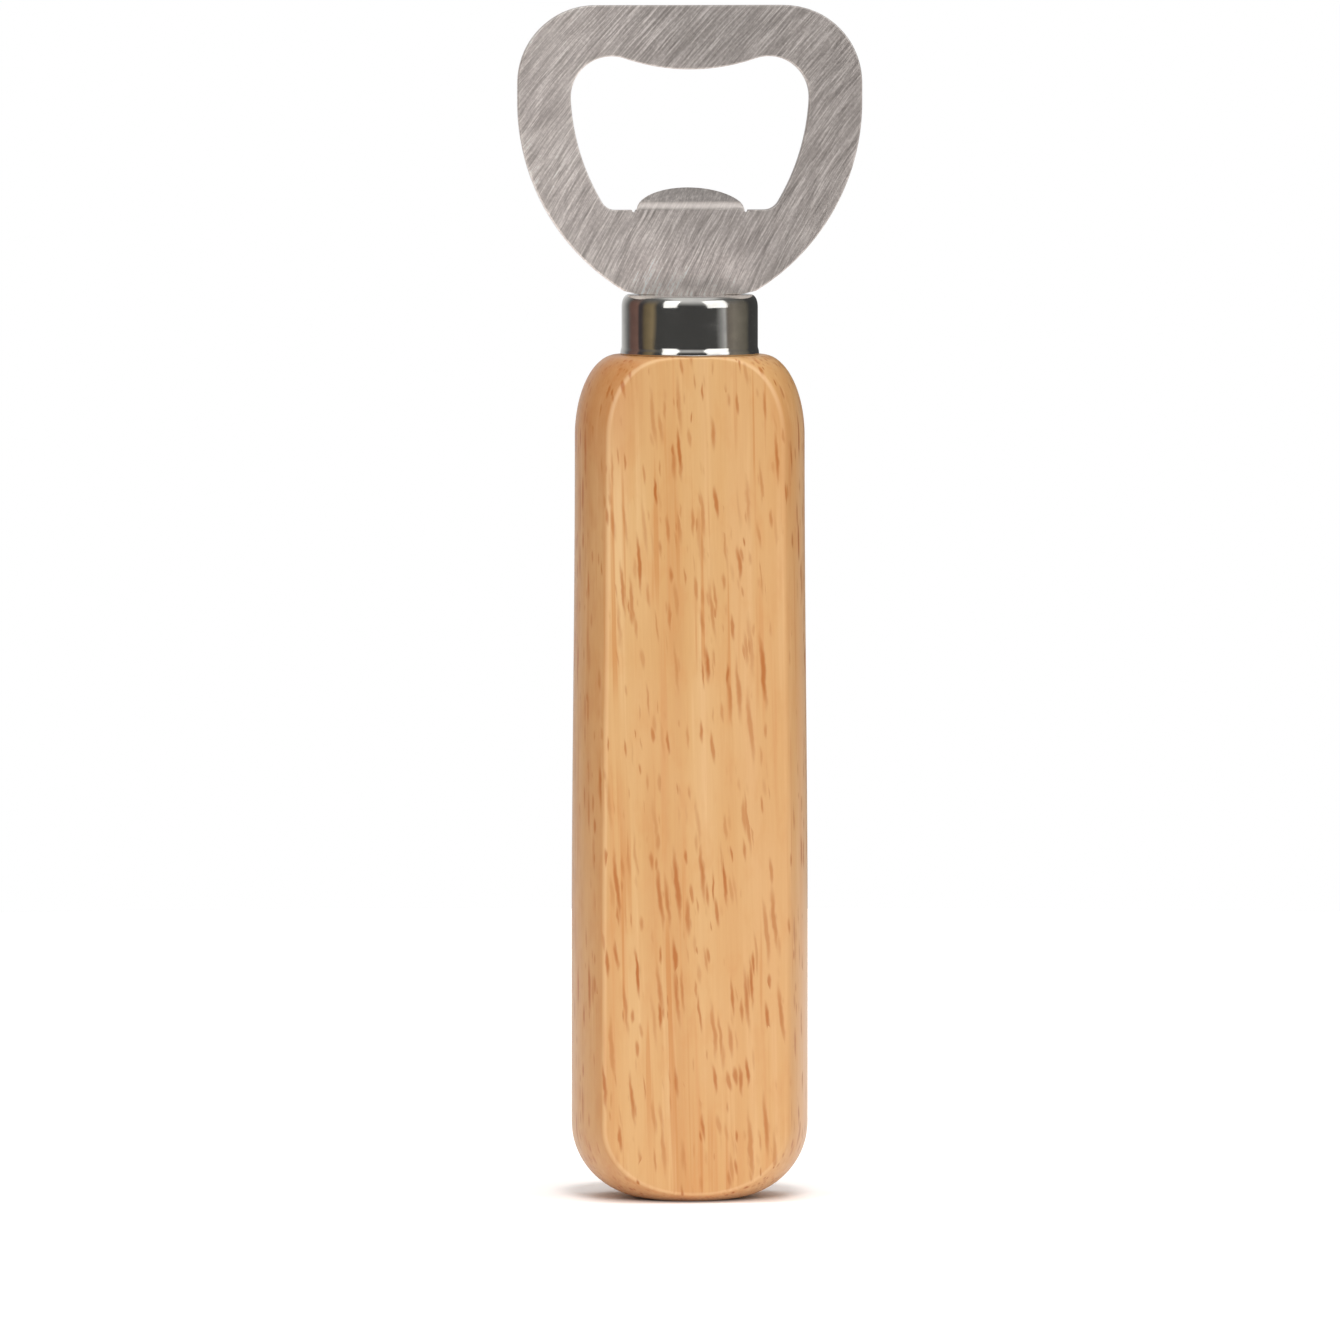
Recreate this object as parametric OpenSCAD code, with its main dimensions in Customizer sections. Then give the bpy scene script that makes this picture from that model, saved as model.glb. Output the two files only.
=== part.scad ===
// Bottle opener with a turned wooden handle, in millimetres.
// A flat stamped steel head carries a window for the crown cap, a half-moon tongue bent out
// of its back, and a tang. The tang goes through a drawn metal ferrule into a blind bore in
// the handle, where set adhesive holds it.
// The origin is the middle of the handle's butt. +Z runs up the opener to the head, the
// handle's front flat looks along -Y, and the tongue points to the back, along +Y.

/* [Handle] */
// Length of the handle, from the butt to the shoulder that the ferrule sits on
handle_len = 103; // [90:1:125]
// Radius of the turned body along its lower third
grip_r = 14.4; // [13.5:0.1:15.5]
// Radius of the turned body where the shoulder starts
neck_r = 14; // [13:0.1:15.5]
// Distance between the two milled flats
flat_gap = 17.9; // [16.8:0.1:20]
// Radius of the flat disc that the opener stands on
butt_flat_r = 4.5; // [3:0.1:6]
// Height of the rounding round the butt
butt_round_h = 9.3; // [6:0.1:14]
// Height of the rounding under the ferrule
shoulder_round_h = 9.9; // [6:0.1:14]
// Radius of the flat land round the tenon, under the ferrule
land_r = 8.9; // [8.5:0.1:9.5]

/* [Ferrule] */
// Outer diameter of the ferrule
ferrule_d = 16.6; // [16.2:0.1:16.8]
// How far the ferrule flares out round its lower edge, on each side
ferrule_flare = 0.15; // [0.05:0.05:0.2]
// Height of the ferrule
ferrule_h = 7.3; // [5:0.1:12]
// Thickness of the ferrule's wall and of its closed top
ferrule_wall = 0.6; // [0.4:0.1:0.8]
// Width of the rounding round the ferrule's drawn top edge, seen from above
ferrule_edge_w = 0.8; // [0.5:0.1:1]
// Height of that rounding
ferrule_edge_h = 1.5; // [0.8:0.1:1.7]

/* [Head] */
// Width of the head
head_w = 42; // [40:0.5:46]
// Height of the head above the ferrule
head_h = 35.2; // [34:0.1:37]
// Thickness of the steel plate
plate_t = 2; // [1.5:0.1:2.1]
// Radius of the two top corners
corner_r = 9.5; // [8:0.5:12]
// Height above the ferrule at which the sides start to draw in
waist_h = 23.4; // [21:0.1:24]
// Radius of the sides below that height
side_r = 26.8; // [26:0.1:27.6]

/* [Window] */
// Distance from the middle to the centre of each upper lobe
lobe_x = 9.6; // [9:0.1:10.5]
// Height of the lobes' centres above the ferrule
lobe_h = 24; // [23.3:0.1:24.8]
// Radius of the upper lobes
lobe_r = 5; // [4.6:0.1:5.5]
// Height above the ferrule of the bulge in the middle of the top bar
bulge_h = 27.4; // [26.3:0.1:27.6]
// Height of the window's lower edge above the ferrule
sill_h = 10.3; // [9.9:0.1:10.8]
// Radius of the window's sides
window_side_r = 27; // [26:0.5:32]
// Radius of the window's lower corners
window_corner_r = 2; // [1.2:0.1:2.2]

/* [Tongue] */
// Angle that the tongue is bent back out of the plate
tongue_angle = 65; // [45:1:70]
// Radius of the half-moon that the tongue is cut to
tongue_r = 6.8; // [6.4:0.1:7.4]
// Length of the tongue along its front face, from the start of the bend to the tip
tongue_len = 5.2; // [4.5:0.1:6]
// Thickness of the tongue, which is coined thinner than the plate. It is also the radius of
// the bend at the tongue's front face, as the fold behind it is sharp
tongue_t = 1.15; // [1:0.05:1.5]

/* [Tang] */
// Width of the tang
tang_w = 8; // [6:0.1:8.2]
// Length of the tang below the head
tang_len = 41; // [30:1:44]
// Radius of the keying notches in the tang's edges
notch_r = 0.8; // [0.4:0.1:1.2]
// Radius of the blind bore that takes the tang
bore_r = 4.5; // [4.4:0.1:5]
// Depth of the straight part of that bore, from the top of the tenon
bore_depth = 43; // [42.5:0.5:50]

/* [Hidden] */

// Points on each quarter turn of an outline
arc_steps = 10;
// Gap left at the bonded curved faces, and the play of the tang in the ferrule's slot
bond_gap = 0.03;
slot_play = 0.1;
// Height of the drill point at the bottom of the bore
drill_point_h = 2.7;
// Half width of the head's straight lower edge, and the rise from there to its sides
heel_x = 6;
heel_rise = 0.45;
// Angle past the widest point of a lobe at which the window's side takes over
lobe_turn = 3;
// The small notches beside the tongue's root: radius, and depth below the window's lower edge
relief_r = 0.25;
relief_depth = 0.3;
// The bend is this much wider than the half-moon on each side, so their edges stay apart
root_margin = 0.08;
// How far the tongue's flat end reaches back into its bend
tip_overlap = 0.05;
// The tang: how far its point is tapered, the notches' spacing and the height of the lowest
tang_point = 3;
notch_step = 9;
notch_first = 8;
notch_pairs = 3;

ferrule_top = handle_len + ferrule_h;
tenon_r = ferrule_d / 2 - ferrule_wall - bond_gap;
tenon_top = ferrule_top - ferrule_wall - bond_gap;
tenon_chamfer = 0.5;
bore_floor = tenon_top - bore_depth;
head_top = ferrule_top + head_h;
// How far below the start of the bend the half-moon's centre lies, along the flat blank
moon_drop = tongue_r - tongue_len;
bend_arc_len = tongue_t * tongue_angle * PI / 180;

function arc(centre, r, from, to) =
    let (steps = max(3, ceil(abs(to - from) / 90 * arc_steps)))
    [for (i = [0:steps]) let (a = from + (to - from) * i / steps) centre + r * [cos(a), sin(a)]];

function ellipse_arc(centre, rx, ry, from, to) =
    [for (p = arc([0, 0], 1, from, to)) centre + [rx * p[0], ry * p[1]]];

function mirrored(points) =
    [for (i = [len(points) - 1:-1:0]) [-points[i][0], points[i][1]]];

// A closed outline from its right half, which runs up from the bottom to the top
module symmetric_outline(half) {
    polygon(concat(half, mirrored(half)));
}

// The turned body, its radius easing from grip_r to neck_r between the lower third and the
// shoulder
ease_from = handle_len * 0.3;
ease_to = handle_len - shoulder_round_h;
ease_steps = 6;
function body_radius(t) = grip_r + (neck_r - grip_r) * (1 - cos(180 * t)) / 2;
handle_profile = concat(
    [[0, 0]],
    ellipse_arc([butt_flat_r, butt_round_h], grip_r - butt_flat_r, butt_round_h, -90, 0),
    [for (i = [0:ease_steps - 1]) let (t = i / ease_steps)
        [body_radius(t), ease_from + (ease_to - ease_from) * t]],
    ellipse_arc([land_r, ease_to], neck_r - land_r, shoulder_round_h, 0, 90),
    [[tenon_r, handle_len],
     [tenon_r, tenon_top - tenon_chamfer],
     [tenon_r - tenon_chamfer, tenon_top],
     [0, tenon_top]]);

// A drawn cup, open downwards, with a narrow flared lip
cup_r = ferrule_d / 2;
lip_h = 0.35;
flare_h = 1;
ferrule_profile = concat(
    [[cup_r - ferrule_wall, handle_len], [cup_r + ferrule_flare, handle_len],
     [cup_r + ferrule_flare, handle_len + lip_h], [cup_r, handle_len + flare_h]],
    ellipse_arc([cup_r - ferrule_edge_w, ferrule_top - ferrule_edge_h],
                ferrule_edge_w, ferrule_edge_h, 0, 90),
    [[0, ferrule_top],
     [0, ferrule_top - ferrule_wall],
     [cup_r - ferrule_wall, ferrule_top - ferrule_wall]]);

// The right half of the plate's outline
head_half_w = head_w / 2;
side_centre = [head_half_w - side_r, ferrule_top + waist_h];
side_end = -asin((waist_h - heel_rise) / side_r);
head_half = concat(
    [[heel_x, ferrule_top]],
    arc(side_centre, side_r, side_end, 0),
    arc([head_half_w - corner_r, head_top - corner_r], corner_r, 0, 90));

// The right half of the window: notch, lower corner, side, lobe and the middle bulge. The
// tongue's front face leaves the plate at the window's lower edge
sill_z = ferrule_top + sill_h;
lobe_centre = [lobe_x, ferrule_top + lobe_h];
bulge_rise = bulge_h - lobe_h;
bulge_r = (pow(lobe_x, 2) + pow(bulge_rise, 2) - pow(lobe_r, 2)) / (2 * (lobe_r - bulge_rise));
bulge_turn = atan2(bulge_rise + bulge_r, -lobe_x);
window_side_centre = lobe_centre
    - (window_side_r - lobe_r) * [cos(lobe_turn), -sin(lobe_turn)];
corner_drop = window_side_centre[1] - sill_z - window_corner_r;
corner_reach = window_side_r - window_corner_r;
corner_centre = [window_side_centre[0] + sqrt(pow(corner_reach, 2) - pow(corner_drop, 2)),
                 sill_z + window_corner_r];
corner_turn = -asin(corner_drop / corner_reach);
moon_root_x = sqrt(pow(tongue_r, 2) - pow(moon_drop, 2));
relief_x = moon_root_x + relief_r;
window_half = concat(
    [[0, sill_z], [moon_root_x, sill_z]],
    arc([relief_x, sill_z - relief_depth + relief_r], relief_r, 180, 360),
    [[relief_x + relief_r, sill_z]],
    arc(corner_centre, window_corner_r, -90, corner_turn),
    arc(window_side_centre, window_side_r, corner_turn, -lobe_turn),
    arc(lobe_centre, lobe_r, -lobe_turn, bulge_turn),
    arc([0, ferrule_top + bulge_h + bulge_r], bulge_r, bulge_turn - 180, -90));

// Half width of the half-moon at a length along its front face from the start of the bend
function moon_half_w(s) = sqrt(pow(tongue_r, 2) - pow(s + moon_drop, 2));

// Turns a drawing in X and Y into a slab in X and Z, its front face at -thickness / 2
module upright_slab(thickness) {
    translate([0, thickness / 2, 0])
        rotate([90, 0, 0])
            linear_extrude(thickness)
                children();
}

module plate() {
    upright_slab(plate_t)
        difference() {
            symmetric_outline(head_half);
            symmetric_outline(window_half);
        }
}

// The bend at the tongue's root: a part turn round a line across the plate, trimmed to
// the half-moon
module tongue_bend() {
    bend_steps = 8;
    bend_half = [for (i = [0:bend_steps]) let (a = tongue_angle * i / bend_steps)
        [moon_half_w(tongue_t * a * PI / 180) + root_margin, sill_z + tongue_t * sin(a)]];
    intersection() {
        translate([0, tongue_t - plate_t / 2, sill_z])
            rotate([90, 0, -90])
                translate([0, 0, -tongue_r])
                    rotate_extrude(angle = tongue_angle, $fn = 64)
                        square([tongue_t, 2 * tongue_r]);
        upright_slab(4 * plate_t)
            symmetric_outline(concat([[moon_root_x + root_margin, sill_z - 1]], bend_half));
    }
}

// The flat end of the tongue, from the end of the bend to its round tip
module tongue_tip() {
    translate([0, tongue_t - plate_t / 2, sill_z])
        rotate([-tongue_angle, 0, 0])
            translate([0, -tongue_t / 2, 0])
                upright_slab(tongue_t)
                    intersection() {
                        translate([0, -bend_arc_len - moon_drop])
                            circle(r = tongue_r, $fn = 96);
                        translate([-tongue_r, -tip_overlap])
                            square([2 * tongue_r, tongue_len]);
                    }
}

module tang() {
    tang_bottom = ferrule_top - tang_len;
    upright_slab(plate_t)
        difference() {
            polygon([[-tang_w / 2, ferrule_top], [-tang_w / 2, tang_bottom + tang_point],
                     [-tang_w / 4, tang_bottom], [tang_w / 4, tang_bottom],
                     [tang_w / 2, tang_bottom + tang_point], [tang_w / 2, ferrule_top]]);
            for (i = [0:notch_pairs - 1])
                for (side = [-1, 1])
                    translate([side * tang_w / 2, tang_bottom + notch_first + i * notch_step])
                        circle(r = notch_r, $fn = 32);
        }
}

module opener_head() {
    color([0.70, 0.67, 0.65])
        union() {
            plate();
            tongue_bend();
            tongue_tip();
            tang();
        }
}

module ferrule() {
    color([0.30, 0.30, 0.30])
        difference() {
            rotate_extrude($fn = 96)
                polygon(ferrule_profile);
            translate([0, 0, ferrule_top])
                cube([tang_w + 2 * slot_play, plate_t + 2 * slot_play, 4 * ferrule_wall],
                     center = true);
        }
}

module bore(r) {
    translate([0, 0, bore_floor])
        cylinder(r = r, h = bore_depth, $fn = 64);
    translate([0, 0, bore_floor - drill_point_h])
        cylinder(r1 = 0, r2 = r, h = drill_point_h, $fn = 64);
}

module handle() {
    color([0.87, 0.66, 0.42])
        difference() {
            intersection() {
                rotate_extrude($fn = 128)
                    polygon(handle_profile);
                translate([0, 0, ferrule_top / 2])
                    cube([4 * grip_r, flat_gap, ferrule_top], center = true);
            }
            bore(bore_r);
        }
}

module tang_adhesive() {
    color([0.93, 0.90, 0.78])
        difference() {
            bore(bore_r - bond_gap);
            tang();
        }
}

opener_head();
ferrule();
handle();
tang_adhesive();
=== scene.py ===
import math

import bmesh
import bpy
import numpy as np
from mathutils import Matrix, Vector


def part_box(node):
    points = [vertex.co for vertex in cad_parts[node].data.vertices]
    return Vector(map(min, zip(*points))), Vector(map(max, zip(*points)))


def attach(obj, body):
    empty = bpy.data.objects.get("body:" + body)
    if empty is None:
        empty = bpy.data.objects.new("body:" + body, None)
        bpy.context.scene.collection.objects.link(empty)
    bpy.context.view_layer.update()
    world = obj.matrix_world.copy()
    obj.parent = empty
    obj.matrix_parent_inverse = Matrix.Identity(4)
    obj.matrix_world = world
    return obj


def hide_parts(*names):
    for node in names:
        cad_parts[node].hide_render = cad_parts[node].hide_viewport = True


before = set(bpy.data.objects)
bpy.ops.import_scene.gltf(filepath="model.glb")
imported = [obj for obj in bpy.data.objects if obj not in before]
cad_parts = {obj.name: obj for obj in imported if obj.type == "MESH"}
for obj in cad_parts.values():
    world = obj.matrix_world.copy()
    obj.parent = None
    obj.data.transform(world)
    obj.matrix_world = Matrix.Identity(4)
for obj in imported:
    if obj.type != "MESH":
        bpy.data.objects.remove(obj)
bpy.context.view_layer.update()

# Shapes are worked out in millimetres and scaled once, where each mesh is made. The sizes
# repeat the CAD part's, whose boxes place each piece. The small roundings are added here.
MM = 0.001

head_high = [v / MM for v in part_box("opener_head")[1]]
cup_low, cup_high = [[v / MM for v in corner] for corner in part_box("ferrule")]
grip_high = [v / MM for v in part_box("handle")[1]]

HEAD_TOP = head_high[2]
CUP_FOOT = cup_low[2]
CUP_TOP = cup_high[2]
FLAT_Y = grip_high[1]
GRIP_R = grip_high[0]


# ---------------------------------------------------------------- mesh helpers

class Sheet:
    """Vertices and faces of one piece, collected in millimetres."""

    def __init__(self):
        self.verts = []
        self.faces = []

    def row(self, points):
        start = len(self.verts)
        self.verts.extend([tuple(p) for p in points])
        return list(range(start, start + len(points)))

    def join(self, a, b, closed=True, skip=()):
        """Quads between two rows of the same length, in the order a, a+1, b+1, b."""
        n = len(a)
        for i in range(n if closed else n - 1):
            if i in skip:
                continue
            k = (i + 1) % n
            self.faces.append((a[i], a[k], b[k], b[i]))

    def cap(self, ring, centre, flip=False):
        """A fan of triangles from a ring to one middle point."""
        c = self.row([centre])[0]
        n = len(ring)
        for i in range(n):
            k = (i + 1) % n
            self.faces.append((ring[k], ring[i], c) if flip else (ring[i], ring[k], c))


def make_object(name, sheet, weld=1e-4, sharp=40.0):
    """A smooth-shaded mesh object in metres, its doubled points welded."""
    verts = np.array(sheet.verts, dtype=float)
    keys = {}
    order = []
    new_index = np.zeros(len(verts), dtype=int)
    for i, v in enumerate(np.round(verts / weld).astype(np.int64)):
        key = tuple(v)
        if key not in keys:
            keys[key] = len(order)
            order.append(i)
        new_index[i] = keys[key]
    faces = []
    for f in sheet.faces:
        loop = []
        for i in f:
            j = int(new_index[i])
            if j not in loop:
                loop.append(j)
        if len(loop) >= 3:
            faces.append(loop)
    mesh = bpy.data.meshes.new(name)
    mesh.from_pydata([tuple(v) for v in verts[order] * MM], [], faces)
    mesh.validate()
    work = bmesh.new()
    work.from_mesh(mesh)
    bmesh.ops.recalc_face_normals(work, faces=work.faces)
    work.to_mesh(mesh)
    work.free()
    mesh.polygons.foreach_set("use_smooth", [True] * len(mesh.polygons))
    mesh.set_sharp_from_angle(angle=math.radians(sharp))
    mesh.update()
    obj = bpy.data.objects.new(name, mesh)
    bpy.context.scene.collection.objects.link(obj)
    return obj


def arc(centre, radius, start, end, steps):
    a = np.radians(np.linspace(start, end, steps + 1))
    return np.stack([centre[0] + radius * np.cos(a), centre[1] + radius * np.sin(a)], axis=1)


def spaced(path, fractions):
    """Points along a path at fractions of its length."""
    path = np.asarray(path, dtype=float)
    steps = np.hypot(*np.diff(path, axis=0).T)
    run = np.concatenate([[0.0], np.cumsum(steps)])
    want = np.asarray(fractions) * run[-1]
    return np.stack([np.interp(want, run, path[:, 0]), np.interp(want, run, path[:, 1])], axis=1)


def ease(t):
    t = np.clip(t, 0.0, 1.0)
    return t * t * (3.0 - 2.0 * t)


# ---------------------------------------------------------------- opener head

PLATE_HALF = 1.0
TONGUE_T = 1.15
TONGUE_R = 6.8
TONGUE_LEN = 5.2
TONGUE_TURN = math.radians(65.0)
BEND_LEN = TONGUE_T * TONGUE_TURN
PIVOT_Y = -PLATE_HALF + TONGUE_T
SILL = CUP_TOP + 10.3
EDGE_R = 0.14
MOON_DROP = TONGUE_R - TONGUE_LEN
ROOT_X = math.sqrt(TONGUE_R ** 2 - MOON_DROP ** 2)
ROOT_STEPS = 14
TANG_HALF = 4.0
TANG_FOOT = CUP_TOP - 41.0
TANG_POINT = 3.0
GRIP_NOTCH_R = 0.8
GRIP_NOTCHES = [TANG_FOOT + 8.0 + 9.0 * n for n in (0, 1, 2)]


def outline_normals(points):
    """Outward unit normals of a closed anticlockwise outline, mitred at its corners."""
    ahead = np.roll(points, -1, axis=0) - points
    ahead /= np.maximum(np.hypot(*ahead.T), 1e-9)[:, None]
    behind = np.roll(ahead, 1, axis=0)
    n_ahead = np.stack([ahead[:, 1], -ahead[:, 0]], axis=1)
    n_behind = np.stack([behind[:, 1], -behind[:, 0]], axis=1)
    total = n_ahead + n_behind
    total /= np.maximum(np.hypot(*total.T), 1e-9)[:, None]
    mitre = np.clip((total * n_ahead).sum(axis=1), 0.7, 1.0)
    return total / mitre[:, None]


def both_sides(half):
    """A closed loop from its right half, which runs from the bottom middle to the top middle."""
    left = half[-2:0:-1].copy()
    left[:, 0] *= -1.0
    return np.concatenate([half, left])


def head_outlines():
    """The window's and the plate's outlines, station for station, and how round each edge is."""
    # the plate: one arc up each side, widest at the waist, and one over each top corner
    half_w = head_high[0]
    side_r, waist, side_foot = 26.8, 23.4, 0.45
    side_c = (half_w - side_r, CUP_TOP + waist)
    low_turn = -math.degrees(math.asin((waist - side_foot) / side_r))
    corner_r = 9.5
    side = arc(side_c, side_r, low_turn, 0.0, 60)
    corner = arc((half_w - corner_r, HEAD_TOP - corner_r), corner_r, 0.0, 90.0, 40)

    # the window: a lobe on each side under the bulging top bar, sides that run in to the feet
    lobe_c, lobe_r, bulge_z = (9.6, CUP_TOP + 24.0), 5.0, CUP_TOP + 27.4
    rise = bulge_z - lobe_c[1]
    bulge_r = (lobe_c[0] ** 2 + rise ** 2 - lobe_r ** 2) / (2.0 * (lobe_r - rise))
    lobe_end = math.degrees(math.atan2(rise + bulge_r, -lobe_c[0]))
    win_r, win_turn, foot_r = 27.0, 3.0, 2.0
    win_c = (lobe_c[0] - (win_r - lobe_r) * math.cos(math.radians(win_turn)),
             lobe_c[1] + (win_r - lobe_r) * math.sin(math.radians(win_turn)))
    drop = win_c[1] - SILL - foot_r
    foot_c = (win_c[0] + math.sqrt((win_r - foot_r) ** 2 - drop ** 2), SILL + foot_r)
    foot_turn = -math.degrees(math.asin(drop / (win_r - foot_r)))
    # a relief notch on each side of the tongue's root
    notch_r, notch_deep = 0.25, 0.3
    notch_c = (ROOT_X + notch_r, SILL - notch_deep + notch_r)

    turn = np.linspace(0.0, math.acos(MOON_DROP / TONGUE_R), ROOT_STEPS + 1)
    root = np.stack([TONGUE_R * np.sin(turn), np.full(len(turn), SILL)], axis=1)
    root[-1, 0] = ROOT_X
    notch = np.concatenate([[(ROOT_X, SILL)], arc(notch_c, notch_r, 180.0, 360.0, 12),
                            [(ROOT_X + 2.0 * notch_r, SILL)]])

    # each part of the window's outline faces a part of the plate's, with as many stations
    split_low, split_high, split_corner = 14, 52, 29
    notch_steps = 10
    tang_edge, foot_edge = (TANG_HALF, CUP_TOP), (6.0, CUP_TOP)
    rest = np.concatenate([side[split_high:], corner[:split_corner + 1]])
    parts = [
        (root, [(0.0, CUP_TOP), tang_edge], ROOT_STEPS),
        (notch, [tang_edge, foot_edge], notch_steps),
        ([notch[-1], (foot_c[0], SILL)], [foot_edge, side[0]], 5),
        (arc(foot_c, foot_r, -90.0, foot_turn, 16), side[:split_low + 1], 9),
        (arc(win_c, win_r, foot_turn, -win_turn, 40), side[split_low:split_high + 1], 16),
        (arc(lobe_c, lobe_r, -win_turn, lobe_end, 60), rest, 24),
        (arc((0.0, bulge_z + bulge_r), bulge_r, lobe_end - 180.0, -90.0, 40),
         np.concatenate([corner[split_corner:], [(0.0, HEAD_TOP)]]), 14),
    ]
    inner, outer = [], []
    for part, (a, b, steps) in enumerate(parts):
        f = np.linspace(0.0, 1.0, steps + 1)[(0 if part == 0 else 1):]
        inner.append(root if part == 0 else spaced(a, f))
        outer.append(spaced(b, f))
    inner, outer = np.concatenate(inner), np.concatenate(outer)

    # the rounding thins at the notches; there is none where the tang starts, and where the
    # tongue starts only the back edge has it
    station = np.arange(len(inner))
    notch_end = ROOT_STEPS + notch_steps
    outer_round = EDGE_R * ease((station - ROOT_STEPS) / 3.0)
    inner_round = EDGE_R * (0.25 + 0.75 * ease((station - notch_end) / 4.0))
    inner_round = inner_round * (station > ROOT_STEPS)
    root_round = EDGE_R * (0.25 + 0.75 * ease((ROOT_STEPS - station) / 3.0))
    back_round = np.where(station <= ROOT_STEPS, root_round, inner_round)
    mirror = [np.concatenate([r, r[-2:0:-1]]) for r in (outer_round, inner_round, back_round)]
    return both_sides(inner), both_sides(outer), turn, mirror


def tongue_point(x, s, depth):
    """A point of the bent tongue from its place on the flat blank and its depth from the front."""
    turned = min(s / TONGUE_T, TONGUE_TURN)
    past = max(s - BEND_LEN, 0.0)
    lever = TONGUE_T - depth
    y = PIVOT_Y - lever * math.cos(turned) + past * math.sin(turned)
    z = SILL + lever * math.sin(turned) + past * math.cos(turned)
    return (x, y, z)


def edge_step(rounding, step):
    """The rim's radius and depth at a step of 30 degrees over its rounded edge."""
    a = math.radians(30.0 * step)
    return TONGUE_R - rounding * (1.0 - math.sin(a)), rounding * (1.0 - math.cos(a))


def rim_point(psi, r, depth):
    s = max(r * math.cos(psi) - MOON_DROP, 0.0)
    return tongue_point(r * math.sin(psi), s, depth)


def add_tongue(sheet, turn):
    """The half-moon: a front sheet, a rounded rim and a back sheet, column by column."""
    turns = np.concatenate([-turn[::-1], turn[1:]])
    front_f = np.linspace(0.0, 1.0, 15) ** 1.25
    columns = []
    for psi in turns:
        # the rim is rounded fully away from its ends, and on the back only past the bend
        reach = TONGUE_R * math.cos(psi) - MOON_DROP
        front_b = EDGE_R * float(ease(reach / 1.2))
        back_b = EDGE_R * float(ease((reach - BEND_LEN) / 1.0)) if reach > BEND_LEN else 0.0
        column = []
        top = (TONGUE_R - front_b) * math.cos(psi) - MOON_DROP
        # the sheet starts on the plate's own stations and eases over to the rounded rim's
        for f in front_f:
            x = (TONGUE_R - front_b * float(ease(f * 1.2))) * math.sin(psi)
            column.append(tongue_point(x, max(top, 0.0) * f, 0.0))
        for step in (1, 2, 3):
            r, depth = edge_step(front_b, step)
            column.append(rim_point(psi, r, depth))
        for step in (3, 2, 1, 0):
            r, depth = edge_step(back_b, step)
            column.append(rim_point(psi, r, TONGUE_T - depth))
        top = max((TONGUE_R - back_b) * math.cos(psi) - MOON_DROP, 0.0)
        for f in np.linspace(1.0, 0.0, 11)[1:]:
            # inside the bend the back lies on the pivot line, at the plate's own stations
            inset = back_b * float(ease(f * 1.2)) if top * f > BEND_LEN else 0.0
            column.append(tongue_point((TONGUE_R - inset) * math.sin(psi), top * f, TONGUE_T))
        columns.append(column)
    rows = [sheet.row([c[k] for c in columns]) for k in range(len(columns[0]))]
    for a, b in zip(rows, rows[1:]):
        sheet.join(a, b, closed=False)


def tang_half_width(z):
    """Half the tang's width, narrower at its point and at its three pairs of grip notches."""
    wide = TANG_HALF
    if z < TANG_FOOT + TANG_POINT:
        wide = TANG_HALF - (TANG_FOOT + TANG_POINT - z) / TANG_POINT * TANG_HALF / 2.0
    for middle in GRIP_NOTCHES:
        off = abs(z - middle)
        if off < GRIP_NOTCH_R:
            wide -= math.sqrt(GRIP_NOTCH_R ** 2 - off ** 2)
    return wide


def add_tang(sheet, tops):
    """The tang below the plate: front and back sheets, its two edges and its end."""
    heights = [CUP_TOP, CUP_TOP - 5.0]
    for middle in GRIP_NOTCHES[::-1]:
        heights += [middle + 3.0] + [middle + GRIP_NOTCH_R * math.cos(a)
                                     for a in np.linspace(0.0, math.pi, 9)]
    heights += [TANG_FOOT + TANG_POINT, TANG_FOOT]
    fronts, backs = [], []
    for z in heights:
        scale = tang_half_width(z) / TANG_HALF
        fronts.append(sheet.row([(x * scale, -PLATE_HALF, z) for x in tops]))
        backs.append(sheet.row([(x * scale, PLATE_HALF, z) for x in tops]))
    for i in range(len(heights) - 1):
        sheet.join(fronts[i], fronts[i + 1], closed=False)
        sheet.join(backs[i + 1], backs[i], closed=False)
        for end in (0, -1):
            edge = [fronts[i][end], fronts[i + 1][end], backs[i + 1][end], backs[i][end]]
            if i == 0:
                # the plate's wall has one more point here, on the tongue's pivot line
                edge += sheet.row([(tops[end], PIVOT_Y, CUP_TOP)])
            sheet.faces.append(edge)
    sheet.join(fronts[-1], backs[-1], closed=False)


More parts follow.
